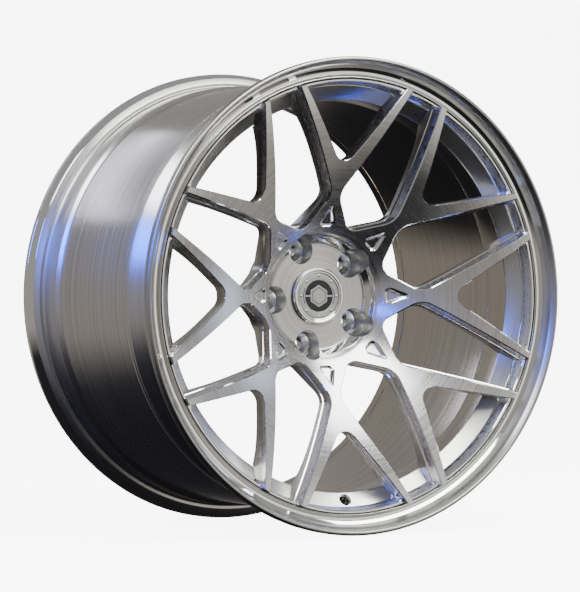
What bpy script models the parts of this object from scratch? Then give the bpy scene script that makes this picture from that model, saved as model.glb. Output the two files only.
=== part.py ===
"""Forged racing wheel, 20 by 11 inches: eight split spokes, a five-hole hub and a push-in centre cap.

It is modelled lying on its back, front face up, in an empty's frame, and the empty stands it up:
its own radius and height become the wheel's X, Z and minus Y. The origin is on the wheel's axis,
midway between the two flange faces. All sizes below are in millimetres and degrees.
"""

import math

import bmesh
import bpy
from mathutils import Matrix, Vector

MM = 0.001
GAP = 0.3              # air between neighbouring pieces
ROUND_STEPS = 48       # facets round the big turned rings
CAP_STEPS = 36         # facets round the centre cap
SMALL_STEPS = 20       # facets round the lug wells and inserts

# Rim: the two flanges, the tyre's bead seats and the well between them.
FLANGE_RADIUS = 271.5
HALF_WIDTH = 162.9
BEAD_RADIUS = 254.0
BEAD_FACE = 139.7      # half of the 11 inch width between the flanges
BARREL_RADIUS = 249.8
WALL = 9.5             # thickness of the barrel and the well
WELL_RADIUS = 234.0
WELL_FRONT = 121.0
WELL_BACK = 89.6
SEAM_FRONT = 67.7
SEAM_WIDTH = 7.3

# Face: the spokes' front is part of a hollow turned arc.
FACE_ARC = 445.0
FACE_ARC_CENTRE = 335.2
FACE_ARC_DROP = 281.6
RING_RADIUS = 246.4
RING_WALL = 4.9
RING_TOP = 147.2
GROOVE_FLOOR = 140.0   # bottom of the weld groove between the ring and the lip
RING_BACK = 131.8
REBATE_BACK = 118.4    # how deep the ring's foot sits inside the well

# Hub.
PAD_RADIUS = 61.1
PAD_HEIGHT = 63.2
MOUNT_RADIUS = 74.5
MOUNT_HEIGHT = 25.0
BORE_RADIUS = 36.55    # fits over the axle's nose
CAP_BORE_RADIUS = 30.0
BORE_STEP = 44.0

# The curve of the spokes' back, as (radius, height), from the rim to the hub.
SPOKE_BACK = [(203.6, 119.5), (176.5, 113.2), (141.2, 99.1), (116.7, 84.7), (89.6, 57.6)]

# Spokes: eight trunks, each split in two. A window lies between neighbours, a vee in each split.
SPOKES = 8
WAIST_RADIUS = 117.2
WAIST_HALF = 3.15
HUB_SPLAY = 31.4
RIM_SPLAY = 30.8
VEE_SPLAY = 35.8
VEE_POINT = 143.5
VEE_ROUND = 15.4
WAIST_ROUND = 21.0
CORNER_ROUND = 16.0
FOOT_ROUND = 4.0
LEDGE_WIDTH = 5.5
LEDGE_DROP = 8.0
LEDGE_END = 233.0
CLOSE = 0.05           # keeps one cutter's sides off the next one's

# A shallow three-cornered pocket on each trunk.
POCKET_BASE = 79.2
POCKET_TIP = 108.5
POCKET_HALF = 13.0
POCKET_DROP = 4.0
FLOOR_END = 240.0

# How far the cutters reach past what they cut.
CUT_FLOOR = 30.0
CUT_TOP = 200.0
CUT_INSIDE = 55.0
CUT_OUTSIDE = 260.0
CUT_RIM = 252.0

# Lug holes, five on a 114.3 mm circle, with pressed-in steel seats.
LUGS = 5
LUG_CIRCLE = 57.15
FIRST_LUG = 112.5
LUG_WELL_RADIUS = 15.0
LUG_SEAT = 41.5
INSERT_RADIUS = 11.7
INSERT_FLANGE = 3.0
STUD_HOLE_RADIUS = 7.5
SEAT_DEPTH = 5.0       # width of the nut's conical seat, across one side
SEAT_ANGLE = 60.0

# Valve hole, square to the well's front wall, straight below the hub.
VALVE_HOLE_RADIUS = 5.65
VALVE_ANGLE = -90.0
VALVE_RADIUS = 232.7

# Centre cap.
CAP_FLANGE_RADIUS = 33.2
CAP_SKIRT_RADIUS = 29.6
CAP_SKIRT_WALL = 2.6
CAP_TOP_WALL = 3.6
CAP_DEEP = 47.0
CAP_SEAT = PAD_HEIGHT + GAP
CAP_DECK = 64.9
BEZEL_OUTER = 33.7
BEZEL_INNER = 26.6
FACE_TOP = 67.4
EMBLEM_RADIUS = 17.4
EMBLEM_FLOOR = 66.0
HEXAGON_RADIUS = 12.4
TICK_HALF = 0.8
INLAY_TOP = 67.0
CAP_SCREWS = 8
CAP_SCREW_CIRCLE = 23.6
SCREW_HOLE = 1.1
SCREW_HEAD = 1.5
SCREW_SHANK = 0.8
SCREW_LENGTH = 5.6
SNAP_RING_HEIGHT = 51.3
SNAP_GROOVE = 1.3      # depth of the spring ring's groove, and half its width
SNAP_WIRE = 0.5


def clear_scene():
    for old in list(bpy.data.objects):
        bpy.data.objects.remove(old, do_unlink=True)


def collection(name, hidden=False):
    made = bpy.data.collections.new(name)
    bpy.context.scene.collection.children.link(made)
    made.hide_render = hidden
    return made


def axis_empty(name, parent=None):
    empty = bpy.data.objects.new(name, None)
    parts.objects.link(empty)
    empty.parent = parent
    return empty


def metal(name, colour, roughness, metallic=1.0):
    made = bpy.data.materials.new(name)
    made.use_nodes = True
    shader = made.node_tree.nodes["Principled BSDF"]
    shader.inputs["Base Color"].default_value = (*colour, 1.0)
    shader.inputs["Roughness"].default_value = roughness
    shader.inputs["Metallic"].default_value = metallic
    made.diffuse_color = (*colour, 1.0)
    return made


def spaced(first, last, count):
    return [first + (last - first) * i / (count - 1) for i in range(count)]


def face_height(radius):
    return math.sqrt(FACE_ARC**2 - (radius - FACE_ARC_CENTRE) ** 2) - FACE_ARC_DROP


def face_points(first, last, count, drop=0.0):
    return [(radius, face_height(radius) - drop) for radius in spaced(first, last, count)]


def clockwise(section):
    """The closed section in the direction in which its outer side runs down."""
    pairs = zip(section, section[1:] + section[:1])
    area = sum(r0 * h1 - r1 * h0 for (r0, h0), (r1, h1) in pairs)
    return section if area < 0 else section[::-1]


def new_object(name, data, group, parent):
    made = bpy.data.objects.new(name, data)
    group.objects.link(made)
    made.parent = parent
    if group == cutters:
        made.hide_render = True
        made.display_type = "WIRE"
    return made


def turned(name, section, steps, group, parent, closed=True):
    """A section of (radius, height) points turned about the axis. An open one ends on the axis."""
    points = clockwise(section) if closed else section
    mesh = bpy.data.meshes.new(name)
    edges = [(i, i + 1) for i in range(len(points) - 1)]
    if closed:
        edges.append((len(points) - 1, 0))
    mesh.from_pydata([(r * MM, 0.0, h * MM) for r, h in points], edges, [])
    made = new_object(name, mesh, group, parent)
    screw = made.modifiers.new("Turned", "SCREW")
    screw.axis = "Z"
    screw.steps = steps
    screw.render_steps = steps
    screw.use_merge_vertices = True
    screw.merge_threshold = 0.00001
    return made


def as_mesh(made):
    """Replaces a curve, or a mesh with modifiers, by the mesh that it evaluates to."""
    bpy.context.view_layer.update()
    graph = bpy.context.evaluated_depsgraph_get()
    mesh = bpy.data.meshes.new_from_object(made.evaluated_get(graph))
    work = bmesh.new()
    work.from_mesh(mesh)
    bmesh.ops.remove_doubles(work, verts=work.verts, dist=0.000001)
    bmesh.ops.recalc_face_normals(work, faces=work.faces)
    work.to_mesh(mesh)
    work.free()
    return mesh


def prism(name, outlines, low, high, group, parent):
    """Flat outlines of (x, y) points made solid from one height to another."""
    curve = bpy.data.curves.new(name, "CURVE")
    curve.dimensions = "2D"
    curve.fill_mode = "BOTH"
    curve.extrude = (high - low) / 2 * MM
    for outline in outlines:
        spline = curve.splines.new("POLY")
        spline.points.add(len(outline) - 1)
        for point, (x, y) in zip(spline.points, outline):
            point.co = (x * MM, y * MM, 0.0, 1.0)
        spline.use_cyclic_u = True
    drawn = bpy.data.objects.new(name + " outline", curve)
    bpy.context.scene.collection.objects.link(drawn)
    mesh = as_mesh(drawn)
    bpy.data.objects.remove(drawn)
    mesh.transform(Matrix.Translation((0.0, 0.0, (high + low) / 2 * MM)))
    return new_object(name, mesh, group, parent)


def boolean(made, operation, other):
    modifier = made.modifiers.new(other.name, "BOOLEAN")
    modifier.operation = operation
    modifier.solver = "EXACT"
    modifier.object = other


def finish(made, material):
    """Keeps the evaluated shape, shades it smooth with crisp edges and gives it its material."""
    mesh = as_mesh(made)
    made.modifiers.clear()
    made.data = mesh
    mesh.name = made.name
    mesh.shade_smooth()
    mesh.set_sharp_from_angle(angle=math.radians(28))
    mesh.materials.clear()
    mesh.materials.append(material)
    return made


def rotated(point, degrees):
    turn = math.radians(degrees)
    x, y = point
    return (x * math.cos(turn) - y * math.sin(turn), x * math.sin(turn) + y * math.cos(turn))


def on_circle(radius, degrees):
    return rotated((radius, 0.0), degrees)


def crossing(normal_a, reach_a, normal_b, reach_b):
    """Where the line p.normal_a = reach_a meets the line p.normal_b = reach_b."""
    det = normal_a[0] * normal_b[1] - normal_a[1] * normal_b[0]
    x = (reach_a * normal_b[1] - reach_b * normal_a[1]) / det
    y = (normal_a[0] * reach_b - normal_b[0] * reach_a) / det
    return (x, y)


def circle_crossing(normal, reach, radius):
    """Where the line p.normal = reach meets a circle about the axis, on the +Y side."""
    x, y = normal
    along = math.sqrt(radius**2 - reach**2)
    ends = [(x * reach - y * side, y * reach + x * side) for side in (along, -along)]
    return max(ends, key=lambda end: end[1])


def rounded(corners, steps=3):
    """An outline whose corners (x, y, radius) are arcs."""
    outline = []
    for i, (x, y, radius) in enumerate(corners):
        corner = Vector((x, y))
        back = (Vector(corners[i - 1][:2]) - corner).normalized()
        ahead = (Vector(corners[(i + 1) % len(corners)][:2]) - corner).normalized()
        half = back.angle(ahead) / 2
        if radius == 0 or half > math.radians(88):
            outline.append((x, y))
            continue
        centre = corner + (back + ahead).normalized() * radius / math.sin(half)
        start = corner + back * radius / math.tan(half) - centre
        end = corner + ahead * radius / math.tan(half) - centre
        sweep = start.angle_signed(end)
        for j in range(steps + 1):
            arm = start.copy()
            arm.rotate(Matrix.Rotation(-sweep * j / steps, 2))
            outline.append(tuple(centre + arm))
    return outline


def rim_arc(start, end, radius, steps):
    """Points on a circle about the axis, strictly between two directions."""
    first = math.degrees(math.atan2(start[1], start[0]))
    last = math.degrees(math.atan2(end[1], end[0]))
    return [(*on_circle(radius, angle), 0.0) for angle in spaced(first, last, steps + 2)[1:-1]]


def window_corners(shrink, rim_radius):
    """The gap between two trunks, about +Y, with its sides moved in by shrink."""
    half_pitch = 180 / SPOKES
    hub_side = on_circle(1.0, HUB_SPLAY)
    rim_side = on_circle(1.0, -RIM_SPLAY)
    waist = (WAIST_HALF, WAIST_RADIUS)
    hub_reach = hub_side[0] * waist[0] + hub_side[1] * waist[1] + shrink
    rim_reach = rim_side[0] * waist[0] + rim_side[1] * waist[1] + shrink
    middle = on_circle(1.0, -half_pitch)
    inner = crossing(hub_side, hub_reach, middle, 0.0)
    waist = crossing(hub_side, hub_reach, rim_side, rim_reach)
    foot = circle_crossing(rim_side, rim_reach, rim_radius)
    inner, waist, foot = (rotated(point, half_pitch) for point in (inner, waist, foot))
    left = [(*inner, CORNER_ROUND - shrink), (*waist, WAIST_ROUND - shrink), (*foot, FOOT_ROUND)]
    right = [(-x, y, radius) for x, y, radius in left[:0:-1]]
    return left + rim_arc(foot, (-foot[0], foot[1]), rim_radius, 4) + right


def vee_corners(grow, rim_radius):
    """The gap in a split trunk, about +Y, with its sides moved out by grow."""
    side = on_circle(1.0, 180 - VEE_SPLAY)
    reach = side[1] * VEE_POINT - grow
    foot = circle_crossing(side, reach, rim_radius)
    other = (-foot[0], foot[1])
    point = (0.0, reach / side[1], VEE_ROUND)
    arc = rim_arc(foot, other, rim_radius, 5)
    return [point, (*foot, FOOT_ROUND), *arc, (*other, FOOT_ROUND)]


def repeated(outline, first):
    """The outline drawn about +Y, once for each spoke, the first one turned to this angle."""
    return [
        [rotated(point, first - 90 + 360 / SPOKES * i) for point in outline]
        for i in range(SPOKES)
    ]


def centre_blank(name, group):
    """The whole turned forging before its windows are cut."""
    front = [
        (CAP_BORE_RADIUS, PAD_HEIGHT),
        (PAD_RADIUS, PAD_HEIGHT),
        (PAD_RADIUS + 1.2, PAD_HEIGHT + 2.7),
        (PAD_RADIUS + 7.5, PAD_HEIGHT + 7.9),
    ]
    front += face_points(PAD_RADIUS + 10, RING_RADIUS, 7)
    foot = WELL_RADIUS - WALL - 0.5
    back = [
        (RING_RADIUS, RING_BACK),
        (BARREL_RADIUS - WALL - GAP, RING_BACK),
        (foot, WELL_FRONT + GAP + 0.1),
        (foot, REBATE_BACK),
        *SPOKE_BACK,
        (MOUNT_RADIUS + 2.5, MOUNT_HEIGHT + 17.0),
        (MOUNT_RADIUS, MOUNT_HEIGHT),
        (BORE_RADIUS, MOUNT_HEIGHT),
        (BORE_RADIUS, BORE_STEP),
        (CAP_BORE_RADIUS, BORE_STEP),
    ]
    return turned(name, front + back, ROUND_STEPS, group, wheel)


def above_face(name, drop, last, extra=()):
    """Everything in front of a surface that lies this far behind the face."""
    low = face_points(CUT_INSIDE, last, 7, drop)
    top = [(CUT_OUTSIDE, CUT_TOP), (CUT_INSIDE, CUT_TOP)]
    return turned(name, low + list(extra) + top, ROUND_STEPS, cutters, wheel)


def make_centre():
    centre = centre_blank("forged_centre", parts)
    ring_inside = RING_RADIUS - RING_WALL
    trunk, gap = 90.0, 90.0 + 180 / SPOKES
    windows = repeated(rounded(window_corners(LEDGE_WIDTH, ring_inside)), gap)
    vees = repeated(rounded(vee_corners(0.0, ring_inside)), trunk)
    through = prism("through windows", windows + vees, 0.0, CUT_TOP, cutters, wheel)

    wide_windows = repeated(rounded(window_corners(0.0, CUT_RIM)), gap)
    wide_vees = repeated(rounded(vee_corners(-CLOSE, CUT_RIM)), trunk)
    ledge = prism("window ledges", wide_windows + wide_vees, CUT_FLOOR, CUT_TOP - 20, cutters, wheel)
    past_ring = [(ring_inside, RING_TOP), (CUT_OUTSIDE, RING_TOP)]
    boolean(ledge, "INTERSECT", above_face("above ledges", LEDGE_DROP, LEDGE_END, past_ring))

    pocket = [(-POCKET_HALF, POCKET_BASE, 6.0), (POCKET_HALF, POCKET_BASE, 6.0), (0.0, POCKET_TIP, 3.0)]
    outlines = repeated(rounded(pocket), trunk)
    floor_edge = [(CUT_OUTSIDE, CUT_TOP - 50)]
    pockets = prism("trunk pockets", outlines, CUT_FLOOR, CUT_TOP - 20, cutters, wheel)
    boolean(pockets, "INTERSECT", above_face("above pockets", POCKET_DROP, FLOOR_END, floor_edge))

    for cutter in (through, ledge, pockets):
        boolean(centre, "DIFFERENCE", cutter)
    for i in range(LUGS):
        boolean(centre, "DIFFERENCE", lug_cutter(i))
    return finish(centre, brushed)


def lug_place(i):
    x, y = on_circle(LUG_CIRCLE, FIRST_LUG + 360 / LUGS * i)
    return Vector((x, y, 0.0)) * MM


def lug_cutter(i):
    section = [
        (0.0, PAD_HEIGHT * 2),
        (LUG_WELL_RADIUS, PAD_HEIGHT * 2),
        (LUG_WELL_RADIUS, LUG_SEAT),
        (INSERT_RADIUS + GAP, LUG_SEAT),
        (INSERT_RADIUS + GAP, MOUNT_HEIGHT / 2),
        (0.0, MOUNT_HEIGHT / 2),
    ]
    made = turned(f"lug cutter {i + 1}", section, SMALL_STEPS, cutters, wheel, closed=False)
    made.location = lug_place(i)
    return made


def make_lug_insert(i):
    """A flanged steel sleeve with a 60 degree seat for the wheel nut."""
    flange = LUG_SEAT + GAP
    top = flange + INSERT_FLANGE
    outside = LUG_WELL_RADIUS - GAP - 0.2
    section = [
        (STUD_HOLE_RADIUS + SEAT_DEPTH, top),
        (outside, top),
        (outside, flange),
        (INSERT_RADIUS, flange),
        (INSERT_RADIUS, MOUNT_HEIGHT + GAP),
        (STUD_HOLE_RADIUS, MOUNT_HEIGHT + GAP),
        (STUD_HOLE_RADIUS, top - SEAT_DEPTH / math.tan(math.radians(SEAT_ANGLE / 2))),
    ]
    made = turned(f"lug_insert_{i + 1}", section, SMALL_STEPS, parts, wheel)
    made.location = lug_place(i)
    return finish(made, steel)


def flange_outside(side):
    """The rolled flange from its inside edge over the rim and down to the bead seat, for side +1 or -1."""
    roll = [
        (FLANGE_RADIUS - 9.6, 148.6),
        (FLANGE_RADIUS - 7.0, 154.0),
        (FLANGE_RADIUS - 6.0, 160.0),
        (FLANGE_RADIUS - 3.6, HALF_WIDTH),
        (FLANGE_RADIUS - 1.2, HALF_WIDTH - 1.2),
        (FLANGE_RADIUS, HALF_WIDTH - 4.0),
        (FLANGE_RADIUS, HALF_WIDTH - 8.9),
        (FLANGE_RADIUS - 4.2, BEAD_FACE + 5.3),
        (FLANGE_RADIUS - 12.0, BEAD_FACE),
        (BEAD_RADIUS + 1.8, BEAD_FACE),
        (BEAD_RADIUS, BEAD_FACE - 2.6),
        (BEAD_RADIUS - 1.6, 119.0),
    ]
    return [(radius, side * height) for radius, height in roll]


def make_outer_half():
    """The front half of the rim: lip, front bead seat and the well."""
    inside = WELL_RADIUS - WALL
    barrel_inside = BARREL_RADIUS - WALL
    section = [
        (barrel_inside, SEAM_FRONT),
        (barrel_inside, SEAM_FRONT + 3.0),
        (inside, WELL_BACK),
        (inside, WELL_FRONT),
        (barrel_inside, RING_BACK - GAP - 0.1),
        (RING_RADIUS + 0.5, RING_BACK - GAP - 0.1),
        (RING_RADIUS + 0.5, GROOVE_FLOOR),
        (RING_RADIUS + 1.9, GROOVE_FLOOR),
        (RING_RADIUS + 1.9, 147.6),
        (RING_RADIUS + 2.6, 148.3),
        (RING_RADIUS + 6.6, 145.0),
        (RING_RADIUS + 11.5, 146.2),
    ]
    section += flange_outside(1)
    section += [
        (BEAD_RADIUS - 0.4, 116.0),
        (BEAD_RADIUS - 2.2, 113.0),
        (WELL_RADIUS, 109.0),
        (WELL_RADIUS, WELL_BACK + 1.5),
        (BARREL_RADIUS, SEAM_FRONT + 3.0),
        (BARREL_RADIUS, SEAM_FRONT),
    ]
    half = turned("outer_rim_half", section, ROUND_STEPS, parts, wheel)
    boolean(half, "DIFFERENCE", valve_cutter())
    return finish(half, polished)


def valve_cutter():
    """A round cutter square to the cone between the well and the centre's ring."""
    run = BARREL_RADIUS - WELL_RADIUS
    rise = RING_BACK - WELL_FRONT
    middle = WELL_FRONT + rise * (VALVE_RADIUS - WELL_RADIUS + WALL) / run
    radius = VALVE_HOLE_RADIUS * MM
    mesh = bpy.data.meshes.new("valve hole")
    work = bmesh.new()
    bmesh.ops.create_cone(
        work, cap_ends=True, segments=16, radius1=radius, radius2=radius, depth=60 * MM
    )
    work.to_mesh(mesh)
    work.free()
    x, y = on_circle(VALVE_RADIUS, VALVE_ANGLE)
    turn = Matrix.Rotation(math.radians(VALVE_ANGLE), 4, "Z")
    lean = Matrix.Rotation(-math.atan2(rise, run), 4, "Y")
    mesh.transform(Matrix.Translation(Vector((x, y, middle)) * MM) @ turn @ lean)
    return new_object("valve hole", mesh, cutters, wheel)


def make_inner_half():
    """The rear half of the rim: the long barrel and the rear bead seat and flange."""
    inside = BARREL_RADIUS - WALL
    seam = SEAM_FRONT - SEAM_WIDTH
    section = [
        (inside, seam),
        (BARREL_RADIUS, seam),
        (BARREL_RADIUS, -109.0),
        (BEAD_RADIUS - 0.2, -113.0),
        (BEAD_RADIUS - 0.2, -116.0),
    ]
    section += flange_outside(-1)[::-1]
    section += [
        (RING_RADIUS + 9.0, -152.5),
        (RING_RADIUS, -150.5),
        (inside, -145.5),
    ]
    return finish(turned("inner_rim_half", section, ROUND_STEPS, parts, wheel), satin)


def make_welds():
    """The weld between the two rim halves, and the one that holds the centre in the outer half."""
    inside = BARREL_RADIUS - WALL
    front = SEAM_FRONT - GAP
    back = SEAM_FRONT - SEAM_WIDTH + GAP
    middle = (front + back) / 2
    seam = [
        (inside, front),
        (inside - 0.5, middle),
        (inside, back),
        (BARREL_RADIUS, back),
        (BARREL_RADIUS + 0.6, middle),
        (BARREL_RADIUS, front),
    ]
    finish(turned("rim_seam_weld", seam, ROUND_STEPS, parts, wheel), welded)
    ring = [
        (RING_RADIUS + 0.3, GROOVE_FLOOR + GAP),
        (RING_RADIUS + 1.6, GROOVE_FLOOR + GAP),
        (RING_RADIUS + 1.6, 146.0),
        (RING_RADIUS + 0.3, 145.4),
    ]
    finish(turned("centre_ring_weld", ring, ROUND_STEPS, parts, wheel), welded)


def screw_place(i):
    x, y = on_circle(CAP_SCREW_CIRCLE, 360 / CAP_SCREWS * i)
    return Vector((x, y, 0.0)) * MM


def screw_holes(name, low, high):
    """Eight small drilled holes as one cutter."""
    outlines = []
    for i in range(CAP_SCREWS):
        middle = on_circle(CAP_SCREW_CIRCLE, 360 / CAP_SCREWS * i)
        ring = [on_circle(SCREW_HOLE, 45 * j) for j in range(8)]
        outlines.append([(middle[0] + x, middle[1] + y) for x, y in ring])
    return prism(name, outlines, low, high, cutters, cap)


def make_cap_body():
    """The moulded cup that pushes into the hub's bore."""
    skirt_inside = CAP_SKIRT_RADIUS - CAP_SKIRT_WALL
    groove = CAP_SKIRT_RADIUS - SNAP_GROOVE
    section = [
        (0.0, CAP_DECK),
        (CAP_FLANGE_RADIUS, CAP_DECK),
        (CAP_FLANGE_RADIUS, CAP_SEAT),
        (CAP_SKIRT_RADIUS, CAP_SEAT),
        (CAP_SKIRT_RADIUS, SNAP_RING_HEIGHT + SNAP_GROOVE),
        (groove, SNAP_RING_HEIGHT + SNAP_GROOVE),
        (groove, SNAP_RING_HEIGHT - SNAP_GROOVE),
        (CAP_SKIRT_RADIUS, SNAP_RING_HEIGHT - SNAP_GROOVE),
        (CAP_SKIRT_RADIUS - 0.8, CAP_DEEP),
        (skirt_inside, CAP_DEEP),
        (skirt_inside, CAP_DECK - CAP_TOP_WALL),
        (0.0, CAP_DECK - CAP_TOP_WALL),
    ]
    body = turned("cap_body", section, CAP_STEPS, parts, cap, closed=False)
    boolean(body, "DIFFERENCE", screw_holes("cap body screw holes", CAP_DEEP, CAP_DECK * 2))
    return finish(body, moulded)


def make_cap_trim():
    """The polished bezel and the face plate inside it."""
    deck = CAP_DECK + GAP
    bezel = [
        (BEZEL_INNER, deck),
        (BEZEL_INNER, deck + 2.6),
        (BEZEL_INNER + 1.4, deck + 3.4),
        (BEZEL_INNER + 3.6, deck + 3.6),
        (BEZEL_OUTER - 1.6, deck + 2.9),
        (BEZEL_OUTER - 0.3, deck + 1.6),
        (BEZEL_OUTER, deck),
    ]
    finish(turned("cap_bezel", bezel, CAP_STEPS, parts, cap), polished)
    plate = [
        (0.0, EMBLEM_FLOOR),
        (EMBLEM_RADIUS, EMBLEM_FLOOR),
        (EMBLEM_RADIUS, FACE_TOP),
        (BEZEL_INNER - GAP, FACE_TOP),
        (BEZEL_INNER - GAP, deck),
        (0.0, deck),
    ]
    face = turned("cap_face_plate", plate, CAP_STEPS, parts, cap, closed=False)
    boolean(face, "DIFFERENCE", screw_holes("face plate screw holes", CAP_DEEP, CAP_DECK * 2))
    finish(face, anodised)


def hexagon(radius):
    return [on_circle(radius, 60 * i + 30) for i in range(6)]


def make_emblem():
    """A raised hexagon with a tick at each side, and two dark inlays above and below the ticks."""
    floor = EMBLEM_FLOOR + GAP
    reach = EMBLEM_RADIUS - GAP
    flat = HEXAGON_RADIUS * math.cos(math.radians(30))
    tick = [(flat, -TICK_HALF), (reach, -TICK_HALF), (reach, TICK_HALF), (flat, TICK_HALF)]
    corners = hexagon(HEXAGON_RADIUS)
    outline = tick + corners[:3] + [(-x, -y) for x, y in tick] + corners[3:]
    finish(prism("cap_emblem_hexagon", [outline], floor, FACE_TOP, parts, cap), anodised)
    edge = HEXAGON_RADIUS + GAP / math.cos(math.radians(30))
    start = math.degrees(math.asin((TICK_HALF + GAP) / reach))
    arc = [on_circle(reach, angle) for angle in spaced(start, 180 - start, 13)]
    flat = edge * math.cos(math.radians(30))
    inside = [(-flat, TICK_HALF + GAP)] + hexagon(edge)[2::-1] + [(flat, TICK_HALF + GAP)]
    upper = arc + inside
    finish(prism("cap_inlay_upper", [upper], floor, INLAY_TOP, parts, cap), dark)
    lower = [(-x, -y) for x, y in upper]
    finish(prism("cap_inlay_lower", [lower], floor, INLAY_TOP, parts, cap), dark)


def make_cap_screw(i):
    """A small round-headed screw through the face plate into the cap's body."""
    head = FACE_TOP + GAP
    section = [
        (0.0, head + 0.9),
        (0.9, head + 0.8),
        (SCREW_HEAD, head + 0.3),
        (SCREW_HEAD, head),
        (SCREW_SHANK, head),
        (SCREW_SHANK, head - SCREW_LENGTH),
        (0.0, head - SCREW_LENGTH),
    ]
    made = turned(f"cap_screw_{i + 1}", section, 8, parts, cap, closed=False)
    made.location = screw_place(i)
    return finish(made, steel)


def make_snap_ring():
    """The open spring ring in the skirt's groove, which holds the cap in the bore."""
    curve = bpy.data.curves.new("cap_snap_ring", "CURVE")
    curve.dimensions = "3D"
    curve.bevel_depth = SNAP_WIRE * MM
    curve.bevel_resolution = 1
    curve.use_fill_caps = True
    angles = spaced(98, 442, 33)
    spline = curve.splines.new("POLY")
    spline.points.add(len(angles) - 1)
    for point, angle in zip(spline.points, angles):
        x, y = on_circle(CAP_SKIRT_RADIUS - 0.45, angle)
        point.co = (x * MM, y * MM, SNAP_RING_HEIGHT * MM, 1.0)
    drawn = bpy.data.objects.new("snap ring path", curve)
    bpy.context.scene.collection.objects.link(drawn)
    mesh = as_mesh(drawn)
    bpy.data.objects.remove(drawn)
    return finish(new_object("cap_snap_ring", mesh, parts, cap), steel)


clear_scene()
parts = collection("forged racing wheel")
cutters = collection("cutters", hidden=True)

brushed = metal("brushed forged aluminium", (0.58, 0.58, 0.57), 0.32)
polished = metal("polished aluminium", (0.66, 0.66, 0.65), 0.12)
satin = metal("lathe-turned aluminium", (0.50, 0.49, 0.48), 0.38)
welded = metal("dressed weld", (0.42, 0.42, 0.42), 0.45)
steel = metal("zinc-plated steel", (0.48, 0.48, 0.47), 0.28)
anodised = metal("silver anodised aluminium", (0.52, 0.52, 0.50), 0.42)
moulded = metal("black moulded nylon", (0.02, 0.02, 0.02), 0.5, 0.0)
dark = metal("black lacquer", (0.01, 0.01, 0.012), 0.25, 0.0)

wheel = axis_empty("wheel axis")
cap = axis_empty("cap axis", wheel)

make_centre()
make_outer_half()
make_inner_half()
make_welds()
for number in range(LUGS):
    make_lug_insert(number)
make_cap_body()
make_cap_trim()
make_emblem()
for number in range(CAP_SCREWS):
    make_cap_screw(number)
make_snap_ring()

wheel.rotation_euler = (math.radians(90), 0.0, 0.0)
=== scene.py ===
import math

import bmesh
import bpy
import numpy as np
from mathutils import Matrix, Quaternion, Vector
from mathutils.geometry import delaunay_2d_cdt


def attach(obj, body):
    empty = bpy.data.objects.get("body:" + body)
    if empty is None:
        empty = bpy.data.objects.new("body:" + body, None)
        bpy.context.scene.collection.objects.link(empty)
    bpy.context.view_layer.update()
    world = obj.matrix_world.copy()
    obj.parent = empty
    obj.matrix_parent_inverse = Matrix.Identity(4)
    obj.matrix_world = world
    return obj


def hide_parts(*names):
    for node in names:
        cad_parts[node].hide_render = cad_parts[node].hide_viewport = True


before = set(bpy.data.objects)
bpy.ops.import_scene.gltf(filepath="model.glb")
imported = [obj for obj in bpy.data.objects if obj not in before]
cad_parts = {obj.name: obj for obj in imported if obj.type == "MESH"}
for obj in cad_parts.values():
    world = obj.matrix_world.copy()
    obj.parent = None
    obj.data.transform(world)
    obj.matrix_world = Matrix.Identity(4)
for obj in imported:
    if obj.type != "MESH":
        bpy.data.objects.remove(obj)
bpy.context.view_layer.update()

mm = 0.001


# Shapes are drawn as on a lathe: x and y across the wheel, height towards its front, all in mm.
def placed(x, y, height):
    return Vector((x * mm, -height * mm, y * mm))


def turnedBy(point, degrees):
    turn = math.radians(degrees)
    x, y = point[0], point[1]
    return (x * math.cos(turn) - y * math.sin(turn), x * math.sin(turn) + y * math.cos(turn))


def onCircle(radius, degrees):
    return turnedBy((radius, 0.0), degrees)


def spaced(first, last, count):
    return [first + (last - first) * i / (count - 1) for i in range(count)]


def linearColour(hexCode):
    parts = [int(hexCode[i:i + 2], 16) / 255 for i in (1, 3, 5)]
    return [p / 12.92 if p <= 0.04045 else ((p + 0.055) / 1.055) ** 2.4 for p in parts] + [1.0]


def addNode(tree, kind, inputs=None, **settings):
    made = tree.nodes.new(kind)
    for name, value in settings.items():
        setattr(made, name, value)
    for socket, value in (inputs or {}).items():
        if isinstance(value, bpy.types.NodeSocket):
            tree.links.new(value, made.inputs[socket])
        else:
            made.inputs[socket].default_value = value
    return made


# Every metal here is worked round the wheel's axis, so its lines follow the radius and the depth,
# and the highlight spreads across them. In a look, spacing, cloud and grain are in mm: real tool
# marks are 0.05 to 0.3 mm apart, so they're drawn about ten times as coarse, to show at all.
# frost is the strength of the fine grain of blasted or milled walls.
markDepth = 0.0002  # m, the depth of a line or grain at full strength


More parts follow.
